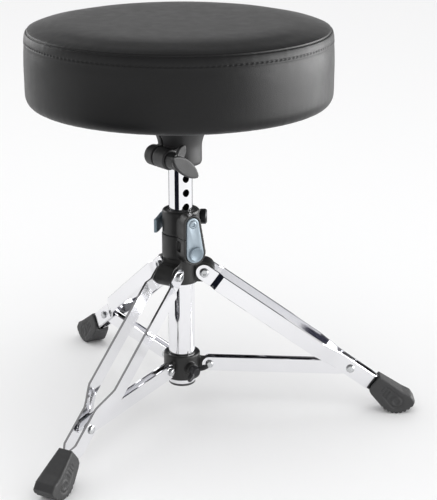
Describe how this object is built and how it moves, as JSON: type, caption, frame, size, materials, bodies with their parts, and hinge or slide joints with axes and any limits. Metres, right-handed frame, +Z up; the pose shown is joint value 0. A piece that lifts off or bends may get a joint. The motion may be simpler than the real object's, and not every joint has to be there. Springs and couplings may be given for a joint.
{
  "type": "drum throne",
  "caption": "Round padded drum throne with a height-adjustable perforated post, cast hub and folding double-braced tripod with rubber feet.",
  "frame": {"origin": "centre of the flat underside of the column's end cap, on the column's axis, 34 mm above the floor", "axes": "+Z up along the column, +X out along leg 1, +Y completes the right-handed frame; legs 2 and 3 stand at -120 and +120 degrees about +Z"},
  "size_m": [0.4307, 0.4708, 0.447],
  "materials": {
    "seat_vinyl": "matte fine-grained black vinyl",
    "seat_foam": "open cell foam",
    "plywood": "raw plywood",
    "black_casting": "satin black powder-coated casting",
    "chrome": "polished chrome plate",
    "zinc": "bright zinc-plated steel",
    "blue_grey": "satin blue-grey plated steel",
    "rubber": "matte dark grey moulded rubber",
    "plastic": "matte black moulded plastic",
    "black_steel": "satin black-oxide steel"
  },
  "bodies": {
    "base": {"base_tube": "chrome", "base_end_cap": "plastic", "guide_bush": "plastic", "height_sleeve": "black_casting", "leg_hub": "black_casting", "index_plate": "blue_grey", "plate_screw": "blue_grey", "hub_clamp_bolt": "black_steel", "leg_1_pivot_bolt": "zinc", "leg_2_pivot_bolt": "zinc", "leg_3_pivot_bolt": "zinc"},
    "post": {"height_post": "chrome", "post_plug": "plastic"},
    "seat": {"seat_cover": "seat_vinyl", "seat_foam": "seat_foam", "seat_board": "plywood", "seat_socket": "black_casting", "seat_bolt_1": "zinc", "seat_bolt_2": "zinc", "seat_bolt_3": "zinc", "seat_bolt_4": "zinc", "clamp_bolt": "black_steel"},
    "seat_wing_knob": {"wing_knob": "black_casting"},
    "index_pin": {"index_button": "blue_grey", "index_spring": "zinc"},
    "clamp_lever": {"hub_clamp_lever": "blue_grey"},
    "collar": {"lower_collar": "black_casting", "brace_1_bolt": "zinc", "brace_2_bolt": "zinc", "brace_3_bolt": "zinc"},
    "collar_lock": {"collar_screw": "black_steel"},
    "leg_1": {"leg_1_bar_left": "chrome", "leg_1_bar_right": "chrome", "leg_1_foot": "rubber", "leg_1_rivet_left": "zinc", "leg_1_rivet_right": "zinc"},
    "brace_1": {"brace_1_bar_left": "chrome", "brace_1_bar_right": "chrome"},
    "leg_2": {"leg_2_bar_left": "chrome", "leg_2_bar_right": "chrome", "leg_2_foot": "rubber", "leg_2_rivet_left": "zinc", "leg_2_rivet_right": "zinc"},
    "brace_2": {"brace_2_bar_left": "chrome", "brace_2_bar_right": "chrome"},
    "leg_3": {"leg_3_bar_left": "chrome", "leg_3_bar_right": "chrome", "leg_3_foot": "rubber", "leg_3_rivet_left": "zinc", "leg_3_rivet_right": "zinc"},
    "brace_3": {"brace_3_bar_left": "chrome", "brace_3_bar_right": "chrome"}
  },
  "joints": [
    {"name": "height_slide", "type": "slide", "parent": "base", "child": "post", "axis": [0, 0, 1], "range_m": [-0.032, 0.096]},
    {"name": "seat_swivel", "type": "hinge", "parent": "post", "child": "seat", "pos_m": [0, 0, 0.296], "axis": [0, 0, 1], "continuous": true},
    {"name": "wing_knob_turn", "type": "hinge", "parent": "seat", "child": "seat_wing_knob", "pos_m": [-0.02145, -0.018, 0.27], "axis": [0.6428, -0.766, 0], "continuous": true},
    {"name": "index_pull", "type": "slide", "parent": "base", "child": "index_pin", "axis": [0.5, -0.866, 0], "range_m": [0, 0.0045], "stiffness_N_per_m": 400, "springref_m": -0.004},
    {"name": "clamp_lever_turn", "type": "hinge", "parent": "base", "child": "clamp_lever", "pos_m": [0, 0.026, 0.1895], "axis": [-1, 0, 0], "range_deg": [0, 90]},
    {"name": "leg_fold", "type": "hinge", "parent": "base", "child": "leg_1", "pos_m": [0.0258, 0, 0.1364], "axis": [0, 1, 0], "range_deg": [0, 45]},
    {"name": "collar_lift", "type": "slide", "parent": "base", "child": "collar", "axis": [0, 0, 1], "range_m": [0, 0.07028]},
    {"name": "collar_lock_turn", "type": "hinge", "parent": "collar", "child": "collar_lock", "pos_m": [0, 0, 0.024], "axis": [0.5, -0.866, 0], "continuous": true},
    {"name": "leg_2_fold", "type": "hinge", "parent": "base", "child": "leg_2", "pos_m": [-0.0129, -0.02234, 0.1364], "axis": [0.866, -0.5, 0], "range_deg": [0, 45]},
    {"name": "leg_3_fold", "type": "hinge", "parent": "base", "child": "leg_3", "pos_m": [-0.0129, 0.02234, 0.1364], "axis": [-0.866, -0.5, 0], "range_deg": [0, 45]},
    {"name": "brace_1_turn", "type": "hinge", "parent": "collar", "child": "brace_1", "pos_m": [0.0312, 0, 0.024], "axis": [0, 1, 0], "range_deg": [0, 78.06]},
    {"name": "brace_2_turn", "type": "hinge", "parent": "collar", "child": "brace_2", "pos_m": [-0.0156, -0.02702, 0.024], "axis": [0.866, -0.5, 0], "range_deg": [0, 78.06]},
    {"name": "brace_3_turn", "type": "hinge", "parent": "collar", "child": "brace_3", "pos_m": [-0.0156, 0.02702, 0.024], "axis": [-0.866, -0.5, 0], "range_deg": [0, 78.06]}
  ],
  "couplings": [
    {"joint": "collar_lift", "follows": "leg_fold", "m_per_rad": 0.089475},
    {"joint": "leg_2_fold", "follows": "leg_fold", "ratio": 1},
    {"joint": "leg_3_fold", "follows": "leg_fold", "ratio": 1},
    {"joint": "brace_1_turn", "follows": "leg_fold", "ratio": 1.7347},
    {"joint": "brace_2_turn", "follows": "leg_fold", "ratio": 1.7347},
    {"joint": "brace_3_turn", "follows": "leg_fold", "ratio": 1.7347}
  ]
}
